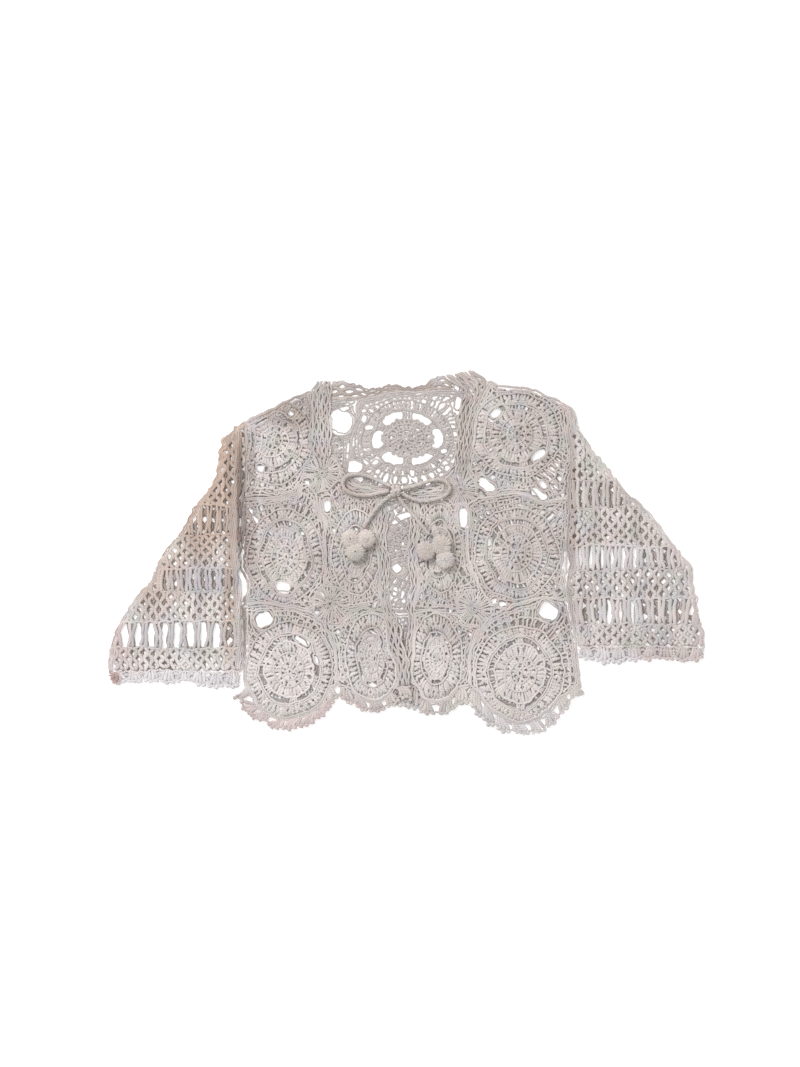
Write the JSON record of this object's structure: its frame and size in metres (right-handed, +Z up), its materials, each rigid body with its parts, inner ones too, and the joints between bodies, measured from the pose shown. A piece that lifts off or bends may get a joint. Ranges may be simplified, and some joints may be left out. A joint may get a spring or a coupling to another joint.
{
  "type": "crochet cardigan",
  "caption": "Short open-front crochet cardigan laid flat: round lace medallions, flared net sleeves with long-loop rounds, picot hem and cuffs, and a neck tie with puff ends.",
  "frame": {"origin": "on the surface that the garment lies on, under the middle of its bounding box", "axes": "+X to the right as seen from above, +Y towards the neck, +Z up out of the cloth"},
  "size_m": [0.7576, 0.4666, 0.0173],
  "materials": {
    "fronts": "matt crocheted cotton, ecru",
    "back": "matt crocheted cotton, ecru",
    "sleeves": "matt crocheted cotton, ecru with tan and grey rounds",
    "edging": "matt crocheted cotton, ecru with a trace of pink",
    "tie": "matt crocheted cotton cord"
  },
  "bodies": {
    "root": {"front_left_top": "fronts", "front_left_mid": "fronts", "front_left_bottom": "fronts", "front_left_inner_mid": "fronts", "front_left_inner_bottom": "fronts", "front_right_inner_mid": "fronts", "front_right_inner_bottom": "fronts", "front_right_top": "fronts", "front_right_mid": "fronts", "front_right_bottom": "fronts", "front_star_left_top": "fronts", "front_star_left_mid": "fronts", "front_star_right_top": "fronts", "front_star_right_mid": "fronts", "back_left_top": "back", "back_mid_top": "back", "back_right_top": "back", "back_left_mid": "back", "back_mid_mid": "back", "back_right_mid": "back", "back_left_bottom": "back", "back_mid_bottom": "back", "back_right_bottom": "back", "back_star_left_top": "back", "back_star_right_top": "back", "back_star_left_mid": "back", "back_star_right_mid": "back", "sleeve_left_front": "sleeves", "sleeve_left_back": "sleeves", "sleeve_right_front": "sleeves", "sleeve_right_back": "sleeves", "hem_left": "edging", "hem_right": "edging", "hem_back": "edging", "cuff_left_front": "edging", "cuff_left_back": "edging", "cuff_right_front": "edging", "cuff_right_back": "edging", "band_left": "edging", "band_right": "edging", "neck_left": "edging", "neck_right": "edging", "neck_back": "edging", "opening_left": "edging", "opening_right": "edging", "tie_loop_left": "tie", "tie_loop_right": "tie", "tie_tail_left": "tie", "tie_tail_right": "tie", "tie_knot": "tie", "puff_left": "tie", "puff_right": "tie"}
  },
  "joints": []
}
